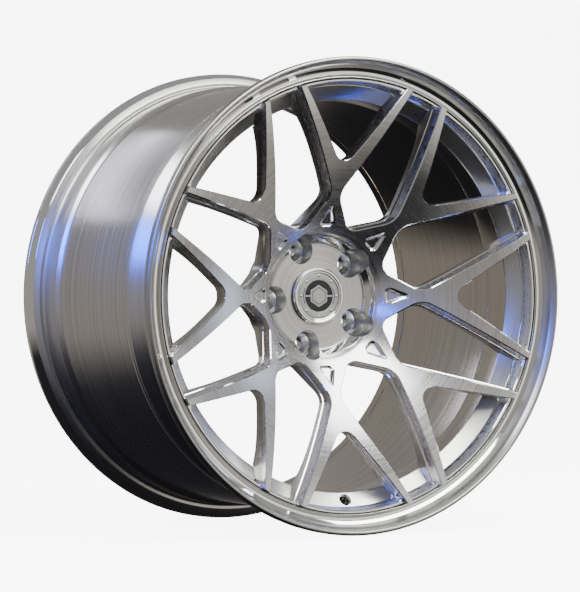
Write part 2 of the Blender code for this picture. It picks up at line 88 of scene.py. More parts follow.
def workedMetal(name, look):
    material = bpy.data.materials.new(name)
    material.use_nodes = True
    tree = material.node_tree
    tree.nodes.clear()
    place = addNode(tree, "ShaderNodeTexCoord").outputs["Object"]
    split = addNode(tree, "ShaderNodeSeparateXYZ", {0: place})
    flat = addNode(tree, "ShaderNodeCombineXYZ", {0: split.outputs[0], 2: split.outputs[2]}).outputs[0]
    radius = addNode(tree, "ShaderNodeVectorMath", {0: flat}, operation="LENGTH").outputs["Value"]
    around = addNode(tree, "ShaderNodeVectorMath", {0: flat}, operation="NORMALIZE").outputs[0]
    arc = addNode(
        tree, "ShaderNodeVectorMath", {0: around, "Scale": look["strokes"]}, operation="SCALE"
    ).outputs[0]
    arcParts = addNode(tree, "ShaderNodeSeparateXYZ", {0: arc}).outputs
    perMetre = 1 / (look["spacing"] * mm)
    across, deep = (
        addNode(tree, "ShaderNodeMath", {0: length, 1: perMetre}, operation="MULTIPLY").outputs[0]
        for length in (radius, split.outputs[1])
    )
    where = addNode(tree, "ShaderNodeCombineXYZ", {0: across, 1: arcParts[0], 2: arcParts[2]}).outputs[0]
    lines = addNode(
        tree, "ShaderNodeTexNoise",
        {"Vector": where, "W": deep, "Scale": 1.0, "Detail": 3.0, "Roughness": 0.65},
        noise_dimensions="4D",
    ).outputs["Fac"]
    cloud = addNode(
        tree, "ShaderNodeTexNoise",
        {"Vector": place, "Scale": 1 / (look["cloud"] * mm), "Detail": 2.0},
    ).outputs["Fac"]
    grain = addNode(
        tree, "ShaderNodeTexNoise",
        {"Vector": place, "Scale": 1 / (look["grain"] * mm), "Detail": 1.0},
    ).outputs["Fac"]
    both = addNode(tree, "ShaderNodeMath", {0: lines, 1: cloud}, operation="ADD").outputs[0]
    smoothest, roughest = look["rough"]
    rough = addNode(  # the two noises mostly add up to between 0.7 and 1.3
        tree, "ShaderNodeMapRange",
        {"Value": both, "From Min": 0.7, "From Max": 1.3, "To Min": smoothest, "To Max": roughest},
    ).outputs[0]
    colour = addNode(  # sockets 6 and 7 are a Mix node's colours, and output 2 is their mix
        tree, "ShaderNodeMix",
        {"Factor": lines, 6: linearColour(look["dark"]), 7: linearColour(look["light"])},
        data_type="RGBA",
    ).outputs[2]
    bumpLines = addNode(
        tree, "ShaderNodeBump",
        {"Height": lines, "Strength": look["lines"], "Distance": markDepth},
    ).outputs[0]
    bumpGrain = addNode(
        tree, "ShaderNodeBump",
        {"Height": grain, "Strength": look["frost"], "Distance": markDepth, "Normal": bumpLines},
    ).outputs[0]
    # the highlight spreads across the lines, so the tangent runs across them
    ring = addNode(
        tree, "ShaderNodeVectorMath", {0: (0.0, 1.0, 0.0), 1: flat}, operation="CROSS_PRODUCT"
    ).outputs[0]
    normal = addNode(tree, "ShaderNodeNewGeometry").outputs["Normal"]
    tangent = addNode(
        tree, "ShaderNodeVectorMath", {0: normal, 1: ring}, operation="CROSS_PRODUCT"
    ).outputs[0]
    shader = addNode(
        tree, "ShaderNodeBsdfPrincipled",
        {"Base Color": colour, "Metallic": 1.0, "Roughness": rough, "Normal": bumpGrain,
         "Anisotropic": look["spread"], "Tangent": tangent},
    )
    out = addNode(tree, "ShaderNodeOutputMaterial")
    tree.links.new(shader.outputs[0], out.inputs[0])
    return material


# Forged aluminium, turned and then brushed: fine lines round the axis, a soft streaked shine.
brushed = workedMetal("brushedForgedAluminium", {
    "light": "#efeeeb", "dark": "#b4b3b1", "rough": (0.20, 0.32), "spacing": 1.9, "strokes": 0.7,
    "lines": 0.09, "cloud": 80.0, "grain": 1.0, "frost": 0.0, "spread": 0.2,
})
# Mirror-polished aluminium: sharp reflections, only a trace of the polishing lines.
polished = workedMetal("polishedAluminium", {
    "light": "#eeeeec", "dark": "#e2e2e0", "rough": (0.05, 0.10), "spacing": 4.0, "strokes": 0.8,
    "lines": 0.004, "cloud": 60.0, "grain": 1.0, "frost": 0.0, "spread": 0.2,
})
# Milled and tumbled aluminium on the window walls: a pale, faintly blue, frosted sparkle.
frosted = workedMetal("milledTumbledAluminium", {
    "light": "#f4f5fc", "dark": "#c9cbd8", "rough": (0.22, 0.38), "spacing": 5.0, "strokes": 40.0,
    "lines": 0.02, "cloud": 6.0, "grain": 1.7, "frost": 0.45, "spread": 0.0,
})
# Fine-blasted aluminium of the lip's outer roll: an even mid grey with soft reflections.
blasted = workedMetal("fineBlastedAluminium", {
    "light": "#b6b5af", "dark": "#a7a6a0", "rough": (0.27, 0.30), "spacing": 3.0, "strokes": 0.8,
    "lines": 0.0, "cloud": 160.0, "grain": 0.8, "frost": 0.004, "spread": 0.1,
})
# Satin machined aluminium behind the face: smooth and soft, with faint tool lines.
satin = workedMetal("satinMachinedAluminium", {
    "light": "#d2d1cc", "dark": "#bcbbb6", "rough": (0.26, 0.34), "spacing": 3.0, "strokes": 0.8,
    "lines": 0.012, "cloud": 60.0, "grain": 1.0, "frost": 0.03, "spread": 0.3,
})
# Lathe-turned aluminium of the barrel's outside: clear lines round it.
turned = workedMetal("latheTurnedAluminium", {
    "light": "#eae7e3", "dark": "#96928d", "rough": (0.20, 0.27), "spacing": 4.6, "strokes": 0.25,
    "lines": 0.09, "cloud": 90.0, "grain": 1.2, "frost": 0.01, "spread": 0.1,
})
# The barrel's bored inside: finer lines than outside, and a warmer, a little darker tone that is painted
# shade of the barrel's hollow.
boredWithPaintedShade = workedMetal("boredAluminiumWithPaintedShade", {
    "light": "#d2cbc1", "dark": "#9c958b", "rough": (0.15, 0.21), "spacing": 4.2, "strokes": 0.3,
    "lines": 0.05, "cloud": 90.0, "grain": 1.2, "frost": 0.01, "spread": 0.1,
})
# Facing cuts on the hub's flat pad: coarse pale rings.
faced = workedMetal("facedAluminium", {
    "light": "#ebebe7", "dark": "#999995", "rough": (0.32, 0.42), "spacing": 5.2, "strokes": 0.15,
    "lines": 0.4, "cloud": 50.0, "grain": 0.9, "frost": 0.02, "spread": 0.3,
})
# Weld metal, wire-brushed: duller and slightly uneven.
weldMetal = workedMetal("brushedWeld", {
    "light": "#b7b5b2", "dark": "#8b8987", "rough": (0.34, 0.55), "spacing": 1.2, "strokes": 60.0,
    "lines": 0.2, "cloud": 10.0, "grain": 1.2, "frost": 0.2, "spread": 0.2,
})
# Zinc-plated turned steel: bright, slightly blue.
steel = workedMetal("zincPlatedSteel", {
    "light": "#e2e4e6", "dark": "#c6c8cc", "rough": (0.20, 0.32), "spacing": 1.4, "strokes": 2.0,
    "lines": 0.03, "cloud": 12.0, "grain": 0.8, "frost": 0.03, "spread": 0.1,
})
# Bead-blasted, silver-anodised aluminium of the cap's face: pale, even and matt.
anodised = workedMetal("silverAnodisedAluminium", {
    "light": "#c9c9c5", "dark": "#b7b7b3", "rough": (0.40, 0.48), "spacing": 1.5, "strokes": 1.0,
    "lines": 0.03, "cloud": 20.0, "grain": 0.6, "frost": 0.12, "spread": 0.1,
})


def plasticMaterial(name, look):
    material = bpy.data.materials.new(name)
    material.use_nodes = True
    tree = material.node_tree
    tree.nodes.clear()
    place = addNode(tree, "ShaderNodeTexCoord").outputs["Object"]
    stretched = addNode(tree, "ShaderNodeMapping", {"Vector": place, "Scale": look["stretch"]}).outputs[0]
    pattern = addNode(
        tree, "ShaderNodeTexNoise",
        {"Vector": stretched, "Scale": 1 / (look["size"] * mm), "Detail": 3.0, "Distortion": 0.4},
    ).outputs["Fac"]
    ramp = addNode(tree, "ShaderNodeValToRGB", {"Fac": pattern})
    for stop, at, tint in zip(ramp.color_ramp.elements, (0.42, 0.62), ("dark", "light")):
        stop.position = at
        stop.color = linearColour(look[tint])
    rough = addNode(
        tree, "ShaderNodeMapRange",
        {"Value": pattern, "To Min": look["rough"][0], "To Max": look["rough"][1]},
    ).outputs[0]
    bump = addNode(
        tree, "ShaderNodeBump", {"Height": pattern, "Strength": look["bump"], "Distance": markDepth / 2}
    )
    shader = addNode(
        tree, "ShaderNodeBsdfPrincipled",
        {"Base Color": ramp.outputs[0], "Roughness": rough, "IOR": 1.5, "Normal": bump.outputs[0]},
    )
    out = addNode(tree, "ShaderNodeOutputMaterial")
    tree.links.new(shader.outputs[0], out.inputs[0])
    return material


# Black lacquer over brushed foil: near black with faint level streaks.
lacquer = plasticMaterial("blackLacqueredInlay", {
    "light": "#17151d", "dark": "#050507", "rough": (0.20, 0.32), "size": 5.0,
    "stretch": (0.5, 1.0, 6.0), "bump": 0.1,
})
# Moulded nylon: dark grey with a fine spark-eroded grain.
nylon = plasticMaterial("mouldedNylon", {
    "light": "#2c2c2e", "dark": "#1b1b1d", "rough": (0.45, 0.62), "size": 0.8,
    "stretch": (1.0, 1.0, 1.0), "bump": 0.35,
})
print("materials made")


def roundedPath(corners, steps, closed=True):
    # corners are (x, y, radius); an arc replaces each corner that has a radius
    outline = []
    count = len(corners)
    for i, (x, y, radius) in enumerate(corners):
        corner = Vector((x, y))
        if radius == 0 or (not closed and i in (0, count - 1)):
            outline.append((x, y))
            continue
        back = (Vector(corners[i - 1][:2]) - corner).normalized()
        ahead = (Vector(corners[(i + 1) % count][:2]) - corner).normalized()
        half = back.angle(ahead) / 2
        centre = corner + (back + ahead).normalized() * radius / math.sin(half)
        start = corner + back * radius / math.tan(half) - centre
        end = corner + ahead * radius / math.tan(half) - centre
        sweep = start.angle_signed(end)
        for j in range(steps + 1):
            arm = start.copy()
            arm.rotate(Matrix.Rotation(-sweep * j / steps, 2))
            outline.append(tuple(centre + arm))
    return outline


def asObject(name, work, materials, sharp=30):
    mesh = bpy.data.meshes.new(name)
    work.to_mesh(mesh)
    work.free()
    made = bpy.data.objects.new(name, mesh)
    bpy.context.scene.collection.objects.link(made)
    for material in materials:
        mesh.materials.append(material)
    mesh.shade_smooth()
    mesh.set_sharp_from_angle(angle=math.radians(sharp))
    return made


def turnedWork(profile, steps, onAxis=False, middle=(0.0, 0.0)):
    # profile points are (radius, height) or (radius, height, material of the stretch that follows)
    work = bmesh.new()
    rings = []
    for point in profile:
        if point[0] == 0:
            rings.append([work.verts.new(placed(*middle, point[1]))])
            continue
        ring = []
        for i in range(steps):
            x, y = onCircle(point[0], 360 * i / steps)
            ring.append(work.verts.new(placed(x + middle[0], y + middle[1], point[1])))
        rings.append(ring)
    last = len(rings) - 1 if onAxis else len(rings)
    for k in range(last):
        low, high = rings[k], rings[(k + 1) % len(rings)]
        for i in range(steps):
            j = (i + 1) % steps
            corners = [low[i % len(low)], low[j % len(low)], high[j % len(high)], high[i % len(high)]]
            face = work.faces.new(list(dict.fromkeys(corners)))
            face.material_index = profile[k][2] if len(profile[k]) > 2 else 0
    bmesh.ops.recalc_face_normals(work, faces=work.faces)
    return work


def softened(profile, steps=4):
    # profile corners are (radius, height, rounding, material); the result feeds turnedWork
    path = []
    for i, corner in enumerate(profile):
        before, after = profile[i - 1], profile[(i + 1) % len(profile)]
        trio = [(*before[:2], 0), corner[:3], (*after[:2], 0)]
        finish = corner[3] if len(corner) > 3 else 0
        path += [(r, h, finish) for r, h in roundedPath(trio, steps, closed=False)[1:-1]]
    return path


def insideLoops(points, loops):
    # even-odd test of many points against several closed loops at once
    points = np.asarray(points, float)
    found = np.zeros(len(points), bool)
    for loop in loops:
        a = np.asarray(loop, float)
        b = np.roll(a, -1, axis=0)
        for (x0, y0), (x1, y1) in zip(a, b):
            if y0 == y1:
                continue
            crosses = (y0 > points[:, 1]) != (y1 > points[:, 1])
            at = x0 + (points[:, 1] - y0) * (x1 - x0) / (y1 - y0)
            found ^= crosses & (points[:, 0] < at)
    return found


def awayFrom(points, loops, distance):
    points = np.asarray(points, float)
    near = np.zeros(len(points), bool)
    for loop in loops:
        for x, y in loop:
            near |= (points[:, 0] - x) ** 2 + (points[:, 1] - y) ** 2 < distance**2
    return points[~near]


def fillLoops(work, loopVerts, extra, heightAt, material, faceUp=True, clearance=1.6):
    # triangles between closed loops of existing vertices, with extra points kept clear of the loops
    flatLoops = [[(v.co.x / mm, v.co.z / mm) for v in loop] for loop in loopVerts]
    verts = [v for loop in loopVerts for v in loop]
    points = [p for loop in flatLoops for p in loop]
    edges = []
    start = 0
    for loop in flatLoops:
        edges += [(start + i, start + (i + 1) % len(loop)) for i in range(len(loop))]
        start += len(loop)
    if len(extra):
        keep = insideLoops(extra, flatLoops)
        extra = awayFrom(np.asarray(extra)[keep], flatLoops, clearance)
        for x, y in extra:
            verts.append(work.verts.new(placed(x, y, heightAt(math.hypot(x, y)))))
            points.append((x, y))
    where, _, triangles, source, *_ = delaunay_2d_cdt([Vector(p) for p in points], edges, [], 0, 1e-6)
    middles = [sum((where[i] for i in t), Vector((0, 0))) / 3 for t in triangles]
    inside = insideLoops([(m.x, m.y) for m in middles], flatLoops)
    made = []
    for triangle, keep in zip(triangles, inside):
        if not keep:
            continue
        corners = [verts[source[i][0]] for i in triangle]
        face = work.faces.new(corners if faceUp else corners[::-1])
        face.material_index = material
        made.append(face)
    return made


def wallBetween(work, upper, lower, material):
    for i in range(len(upper)):
        j = (i + 1) % len(upper)
        face = work.faces.new([upper[i], lower[i], lower[j], upper[j]])
        face.material_index = material


def cutWith(target, operation, other):
    modifier = target.modifiers.new(other.name, "BOOLEAN")
    modifier.operation = operation
    modifier.solver = "EXACT"
    modifier.object = other
    bpy.context.view_layer.update()
    graph = bpy.context.evaluated_depsgraph_get()
    mesh = bpy.data.meshes.new_from_object(target.evaluated_get(graph))
    target.modifiers.clear()
    target.data = mesh
    bpy.data.objects.remove(other)


def sharpen(target, degrees):
    target.data.shade_smooth()
    target.data.set_sharp_from_angle(angle=math.radians(degrees))


def standsFor(piece, body, slotName, *nodes):
    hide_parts(*nodes)
    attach(piece, body)


# lengths in mm, angles in degrees; heights are above the rim's middle
centre = {
    "spokes": 8,
    "faceArc": 445.0, "faceArcCentre": 335.2, "faceArcDrop": 281.6,
    "tipRadius": 246.4, "waistHalf": 3.15, "waistRadius": 117.2,
    "hubSplay": 31.4, "rimSplay": 30.8, "waistRound": 21.0, "cornerRound": 16.0,
    "veeSplay": 35.8, "veePoint": 143.5, "veeRound": 15.4,
    # steps down a window's wall and a split's wall: (out from the face's edge, depth, finish)
    "windowSteps": [
        (0.0, 0.0, 1), (1.1, 0.9, 2), (2.5, 7.2, 3), (3.3, 13.2, 1), (4.5, 13.7, 3), (5.4, 20.0, 3),
    ],
    "veeSteps": [
        (0.0, 0.0, 1), (0.8, 0.8, 2), (0.9, 7.2, 3), (1.0, 13.2, 3), (1.1, 13.7, 3), (1.2, 20.0, 3),
    ],
    "wallSpacing": 4.0, "wallFloor": 12.0,
    # the hub's flat pad and the step up from it to the spokes: (radius, height)
    "pad": [
        (0.0, 63.2), (60.7, 63.2), (61.2, 63.4), (62.2, 65.7), (62.7, 66.2), (68.1, 70.7), (68.7, 71.3),
        (70.9, 75.9),
    ],
    "padBlend": 0.6, "padRings": 60.9, "stepEdge": 71.3,
    # the small pocket on each spoke's root: (x, y, rounding), and (inset, depth, finish) down its wall
    "pocket": [(-13.0, 79.2, 6.0), (13.0, 79.2, 6.0), (0.0, 108.5, 3.2)],
    "pocketSteps": [(0.0, 0.0, 1), (1.0, 0.35, 1), (3.3, 2.9, 2), (4.3, 3.7, 0)],
    "pocketDrop": 3.8, "pocketGrid": ((-8, 8, 7), (80, 104, 10)),
    # the points that carry the face's curve: (first radius, last radius, count), and more by themselves
    "faceGrid": (75.0, 243.5, 42), "hubGrid": [12.0, 24.0, 36.0, 48.0],
    "gridSpacing": 4.2, "stepSpacing": 2.2,
    # the back of the spokes, out from the hub: (radius, height)
    "back": [
        (77.0, 42.0), (89.6, 57.6), (116.7, 84.7), (141.2, 99.1), (176.5, 113.2), (203.6, 119.5),
        (222.4, 118.6),
    ],
    # behind the ring, and the hub's back and bore, both inwards: (radius, height)
    "behindRing": [(262.0, -5.0), (262.0, 131.8), (240.2, 131.8), (224.2, 121.4), (223.9, 119.0)],
    "hubBack": [
        (76.2, 39.0), (75.0, 26.0), (74.0, 25.0), (37.5, 25.0), (36.55, 26.0), (36.55, 44.0), (30.0, 44.0),
        (30.0, 90.0),
    ],
    "ringTop": 147.2, "ringOuter": 246.4, "ringChamfer": 0.4, "ringRootRadius": 230.0,
    # the ring's inside, from its land down: (radius, height, inset into a window, inset into a split, finish)
    "ringSteps": [
        (245.2, 147.2, 1.0, 0.40, 1), (244.4, 146.9, 1.1, 0.43, 1), (243.7, 146.0, 1.3, 0.47, 2),
        (243.2, 143.5, 1.8, 0.52, 2), (242.6, 138.5, 2.7, 0.60, 2), (241.8, 133.2, 3.8, 0.70, 1),
        (240.9, 131.8, 4.1, 0.8, 1), (240.8, 126.0, 4.2, 0.8, 1),
    ],
    "footRound": 4.5,
    "lugs": 5, "lugCircle": 57.15, "firstLug": 112.5, "lugWell": 15.0, "lugSeat": 41.5, "insertHole": 12.0,
    # a lug well's flared rim, from above the pad down: (out past the well, height)
    "lugFlare": [(3.4, 130.0), (3.2, 74.0), (1.6, 64.4), (0.6, 62.4), (0.0, 60.8)],
    "lugDrillEnd": 10.0,
}


def faceHeight(radius):
    for (r0, h0), (r1, h1) in zip(centre["pad"], centre["pad"][1:]):
        if radius < r1:
            return h0 + (h1 - h0) * (radius - r0) / (r1 - r0)
    run = radius - centre["faceArcCentre"]
    arc = math.sqrt(centre["faceArc"] ** 2 - run**2) - centre["faceArcDrop"]
    lastRadius, lastHeight = centre["pad"][-1]
    share = (radius - lastRadius) / centre["padBlend"]
    if share < 1:
        return lastHeight * (1 - share) + arc * share
    return arc


def lineCrossing(normalA, reachA, normalB, reachB):
    det = normalA[0] * normalB[1] - normalA[1] * normalB[0]
    x = (reachA * normalB[1] - reachB * normalA[1]) / det
    y = (normalA[0] * reachB - normalB[0] * reachA) / det
    return (x, y)


def circleCrossing(normal, reach, radius):
    x, y = normal
    along = math.sqrt(radius**2 - reach**2)
    ends = [(x * reach - y * side, y * reach + x * side) for side in (along, -along)]
    return max(ends, key=lambda end: end[1])


def windowSides(offset, rimRadius):
    # half of a window about +Y: the hub corner, the waist and the foot at the rim
    half = 180 / centre["spokes"]
    hubSide = onCircle(1.0, centre["hubSplay"])
    rimSide = onCircle(1.0, -centre["rimSplay"])
    waist = (centre["waistHalf"], centre["waistRadius"])
    hubReach = hubSide[0] * waist[0] + hubSide[1] * waist[1] + offset
    rimReach = rimSide[0] * waist[0] + rimSide[1] * waist[1] + offset
    inner = lineCrossing(hubSide, hubReach, onCircle(1.0, -half), 0.0)
    middle = lineCrossing(hubSide, hubReach, rimSide, rimReach)
    foot = circleCrossing(rimSide, rimReach, rimRadius)
    return [turnedBy(p, half) for p in (inner, middle, foot)]


def veeSides(offset, rimRadius):
    side = onCircle(1.0, 180 - centre["veeSplay"])
    reach = side[1] * centre["veePoint"] + offset
    return (0.0, reach / side[1]), circleCrossing(side, reach, rimRadius)


def bayPath(kind, offset):
    # from the tip on the right of the bay, in round the hub side, to the tip on its left
    tip = centre["tipRadius"]
    if kind == "window":
        inner, middle, foot = windowSides(offset, tip)
        waistRound = centre["waistRound"] - offset
        corners = [
            (-foot[0], foot[1], 0), (-middle[0], middle[1], waistRound),
            (0.0, inner[1], centre["cornerRound"] - offset),
            (middle[0], middle[1], waistRound), (foot[0], foot[1], 0),
        ]
    else:
        point, foot = veeSides(offset, tip)
        veeRound = centre["veeRound"] - offset
        corners = [(foot[0], foot[1], 0), (0.0, point[1], veeRound), (-foot[0], foot[1], 0)]
    return roundedPath(corners, 10, closed=False)


def starLoop(step):
    # the whole outline of hub and spokes at one step of the walls
    outline = []
    pitch = 180 / centre["spokes"]
    for i in range(2 * centre["spokes"]):
        kind = "vee" if i % 2 == 0 else "window"
        offset = centre["veeSteps" if kind == "vee" else "windowSteps"][step][0]
        path = bayPath(kind, offset)
        base = bayPath(kind, 0.0)
        turn = pitch * i
        for k, point in enumerate(path):
            outline.append(turnedBy(point, turn))
            if k == len(path) - 1:
                continue
            pieces = max(1, round(math.dist(base[k], base[k + 1]) / centre["wallSpacing"]))
            for j in range(1, pieces):
                share = j / pieces
                mixed = [a + (b - a) * share for a, b in zip(path[k], path[k + 1])]
                outline.append(turnedBy(mixed, turn))
        nextKind = "window" if kind == "vee" else "vee"
        nextOffset = centre["veeSteps" if nextKind == "vee" else "windowSteps"][step][0]
        here = turnedBy(path[-1], turn)
        ahead = turnedBy(bayPath(nextKind, nextOffset)[0], turn + pitch)
        first = math.degrees(math.atan2(here[1], here[0]))
        last = math.degrees(math.atan2(ahead[1], ahead[0]))
        if last < first:
            last += 360
        outline += [onCircle(centre["tipRadius"], angle) for angle in spaced(first, last, 6)[1:-1]]
    return outline


def insetCorners(corners, inset, leastRound=0.8):
    moved = []
    count = len(corners)
    for i, (x, y, radius) in enumerate(corners):
        lines = []
        for a, b in ((corners[i - 1], corners[i]), (corners[i], corners[(i + 1) % count])):
            along = Vector((b[0] - a[0], b[1] - a[1])).normalized()
            normal = (-along.y, along.x)
            lines.append((normal, normal[0] * a[0] + normal[1] * a[1] + inset))
        x, y = lineCrossing(*lines[0], *lines[1])
        moved.append((x, y, max(radius - inset, leastRound)))
    return moved


def belowFace(work, path, depth):
    return [work.verts.new(placed(x, y, faceHeight(math.hypot(x, y)) - depth)) for x, y in path]


def makeStar():
    # hub and spokes as a block with a flat underside, which behindCutter then hollows
    work = bmesh.new()
    steps = centre["windowSteps"]
    pitch = 360 / centre["spokes"]
    floorHeight = centre["wallFloor"]
    loops = [belowFace(work, starLoop(k), depth) for k, (_, depth, _) in enumerate(steps)]
    floor = [work.verts.new(placed(x, y, floorHeight)) for x, y in starLoop(len(steps) - 1)]
    for k, (upper, lower) in enumerate(zip(loops, loops[1:] + [floor])):
        wallBetween(work, upper, lower, steps[k][2])

    pocketLoops = []
    for i in range(centre["spokes"]):
        rings = []
        for inset, depth, _ in centre["pocketSteps"]:
            path = roundedPath(insetCorners(centre["pocket"], inset), 8)
            rings.append(belowFace(work, [turnedBy(p, pitch * i) for p in path], depth))
        for k, (upper, lower) in enumerate(zip(rings, rings[1:])):
            wallBetween(work, lower, upper, centre["pocketSteps"][k][2])
        columns, rows = (spaced(*run) for run in centre["pocketGrid"])
        grid = [turnedBy((x, y), pitch * i) for x in columns for y in rows]
        fillLoops(work, [rings[-1]], grid, lambda r: faceHeight(r) - centre["pocketDrop"], 0)
        pocketLoops.append(rings[0])

    grid = []
    padRadii = [p[0] for p in centre["pad"][1:]] + [centre["pad"][-1][0] + centre["padBlend"]]
    for radius in padRadii + spaced(*centre["faceGrid"]) + centre["hubGrid"]:
        spacing = centre["stepSpacing"] if 60 < radius < 72 else centre["gridSpacing"]
        count = max(24, round(2 * math.pi * radius / spacing))
        grid += [onCircle(radius, 360 * i / count) for i in range(count)]
    for face in fillLoops(work, [loops[0]] + pocketLoops, grid, faceHeight, 0):
        middle = face.calc_center_median()
        radius = math.hypot(middle.x, middle.z) / mm
        if radius < centre["padRings"]:
            face.material_index = 4
        elif radius < centre["stepEdge"]:
            face.material_index = 1
    fillLoops(work, [floor], [], lambda r: floorHeight, 3, faceUp=False)
    bmesh.ops.recalc_face_normals(work, faces=work.faces)
    return asObject("forgedCentre", work, centreMaterials)


def makeRing():
    # the ring that the tips stand on, with a rounded foot beside each spoke
    work = bmesh.new()
    loops = []
    pitch = 180 / centre["spokes"]
    for radius, height, windowInset, veeInset, _ in centre["ringSteps"]:
        outline = []
        for i in range(2 * centre["spokes"]):
            if i % 2 == 0:
                start = veeSides(veeInset, centre["ringRootRadius"])[1]
                foot = veeSides(veeInset, radius)[1]
            else:
                start = windowSides(windowInset, centre["ringRootRadius"])[2]
                start = (-start[0], start[1])
                foot = windowSides(windowInset, radius)[2]
                foot = (-foot[0], foot[1])
            first = math.degrees(math.atan2(foot[1], foot[0]))
            arc = [(*onCircle(radius, a), 0) for a in spaced(first, 180 - first, 22)[1:-1]]
            corners = [
                (*start, 0), (*foot, centre["footRound"]), *arc,
                (-foot[0], foot[1], centre["footRound"]), (-start[0], start[1], 0),
            ]
            outline += [turnedBy(p, pitch * i) for p in footedPath(corners)]
        loops.append([work.verts.new(placed(x, y, height)) for x, y in outline])
    for k, (upper, lower) in enumerate(zip(loops, loops[1:])):
        wallBetween(work, upper, lower, centre["ringSteps"][k][4])
    top, bottom = centre["ringTop"], centre["ringSteps"][-1][1]
    outer, chamfer, count = centre["ringOuter"], centre["ringChamfer"], 384
    outerTop, edgeTop, outerLow = (
        [work.verts.new(placed(*onCircle(radius, 360 * i / count), height)) for i in range(count)]
        for radius, height in ((outer, top - chamfer), (outer - chamfer, top), (outer, bottom))
    )
    wallBetween(work, edgeTop, outerTop, 1)
    wallBetween(work, outerTop, outerLow, 3)
    fillLoops(work, [edgeTop, loops[0]], [], lambda r: top, 1)
    fillLoops(work, [outerLow, loops[-1]], [], lambda r: bottom, 3, faceUp=False)
    bmesh.ops.recalc_face_normals(work, faces=work.faces)
    return asObject("centreRing", work, centreMaterials)


def footedPath(corners):
    # the corner beside each spoke is rounded between its straight side and the ring's arc
    skipped = 4  # points of the arc that each rounding takes the place of
    first, *_, last = (corner[:2] for corner in corners)
    arc = [corner[:2] for corner in corners[2:-2]]
    rightFoot = roundedPath([(*first, 0), corners[1], (*arc[skipped], 0)], 7, closed=False)[1:-1]
    leftFoot = roundedPath([(*arc[-skipped - 1], 0), corners[-2], (*last, 0)], 7, closed=False)[1:-1]
    return [first, *rightFoot, *arc[skipped:-skipped], *leftFoot, last]


def smoothCurve(points, perSpan):
    # a Catmull-Rom curve through the points
    full = [points[0]] + points + [points[-1]]
    curve = []
    for i in range(1, len(full) - 2):
        p0, p1, p2, p3 = (Vector(p) for p in full[i - 1:i + 3])
        for j in range(perSpan):
            t = j / perSpan
            curve.append(tuple(0.5 * (2 * p1 + (p2 - p0) * t + (2 * p0 - 5 * p1 + 4 * p2 - p3) * t**2
                                      + (3 * p1 - p0 - 3 * p2 + p3) * t**3)))
    curve.append(points[-1])
    return curve


def behindCutter():
    # everything behind the spokes, the ring and the hub, and the bore through it
    first, last = centre["behindRing"][0][1], centre["hubBack"][-1][1]
    profile = [(0.0, first), *centre["behindRing"], *smoothCurve(centre["back"], 6)[::-1]]
    profile += [*centre["hubBack"], (0.0, last)]
    work = turnedWork([(r, h, 3) for r, h in profile], 288, onAxis=True)
    return asObject("behindCutter", work, centreMaterials)


def lugCutter():
    well, seat, hole = centre["lugWell"], centre["lugSeat"], centre["insertHole"]
    flare, end = [(well + out, height) for out, height in centre["lugFlare"]], centre["lugDrillEnd"]
    profile = [
        (0.0, flare[0][1]), *flare, (well, seat + 1.6), (well - 0.5, seat + 0.5), (well - 1.6, seat),
        (hole, seat), (hole, end), (0.0, end),
    ]
    joined = bmesh.new()
    for i in range(centre["lugs"]):
        middle = onCircle(centre["lugCircle"], centre["firstLug"] + 360 / centre["lugs"] * i)
        part = turnedWork([(r, h, 3) for r, h in profile], 72, onAxis=True, middle=middle)
        mesh = bpy.data.meshes.new("lugCutterPart")
        part.to_mesh(mesh)
        part.free()
        joined.from_mesh(mesh)
        bpy.data.meshes.remove(mesh)
    return asObject("lugCutter", joined, centreMaterials)


centreMaterials = [brushed, polished, frosted, satin, faced]
forgedCentre = makeStar()
cutWith(forgedCentre, "UNION", makeRing())
cutWith(forgedCentre, "DIFFERENCE", behindCutter())
cutWith(forgedCentre, "DIFFERENCE", lugCutter())
sharpen(forgedCentre, 26)


def trueNormals(target):
    # the turned face shades by its own curve, whatever its triangles are
    mesh = target.data
    padEnd, run = 72, 0.2  # mm
    nearlyFlush = 0.97  # cosine of the most that the shading may lean from the facet
    normals = [Vector(corner.vector) for corner in mesh.corner_normals]
    for polygon in mesh.polygons:
        if polygon.material_index not in (0, 4):
            continue
        for index in polygon.loop_indices:
            co = mesh.vertices[mesh.loops[index].vertex_index].co
            radius = math.hypot(co.x, co.z) / mm
            if radius < padEnd and polygon.material_index == 0:
                continue
            slope = (faceHeight(radius + run) - faceHeight(radius)) / run if radius > padEnd else 0.0
            lean = -slope / (radius * mm)
            ideal = Vector((lean * co.x, -1.0, lean * co.z)).normalized()
            if ideal.dot(polygon.normal) > nearlyFlush:
                normals[index] = ideal
    mesh.normals_split_custom_set(normals)


trueNormals(forgedCentre)
standsFor(forgedCentre, "wheel", "centre", "forged_centre")
print("forged centre made,", len(forgedCentre.data.polygons), "faces")
